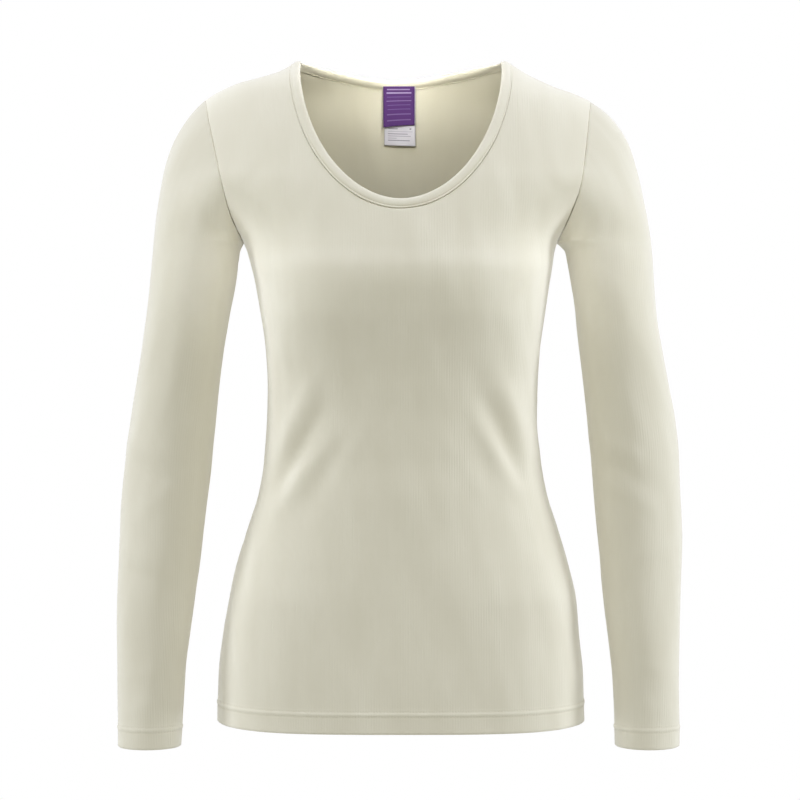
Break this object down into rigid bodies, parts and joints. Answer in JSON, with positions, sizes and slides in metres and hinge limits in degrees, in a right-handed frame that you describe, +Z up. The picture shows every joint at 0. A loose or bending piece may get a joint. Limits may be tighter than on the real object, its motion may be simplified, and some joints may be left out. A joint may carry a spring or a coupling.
{
  "type": "thermal base layer top",
  "caption": "Close-fitting long-sleeved base layer top in fine rib knit, with a scooped neck and a narrow neckband, held filled out in its worn shape.",
  "frame": {"origin": "midway between the shoulders, 30 mm below the point where the neck edge crosses the shoulder seam, where the wearer's shoulders carry the top", "axes": "+Z up along the body, +X towards the wearer's left sleeve, -Y out of the front"},
  "size_m": [0.5385, 0.227, 0.651],
  "materials": {
    "front": "matt fine rib knit, cream",
    "back": "matt fine rib knit, cream",
    "sleeve_right": "matt fine rib knit, cream",
    "sleeve_left": "matt fine rib knit, cream",
    "neckband": "matt smooth knit, cream",
    "label_care": "satin ribbon, white",
    "label_woven": "woven satin, violet"
  },
  "bodies": {
    "root": {"front": "front", "back": "back", "sleeve_right": "sleeve_right", "sleeve_left": "sleeve_left", "neckband": "neckband", "label_care": "label_care", "label_woven": "label_woven"}
  },
  "joints": []
}
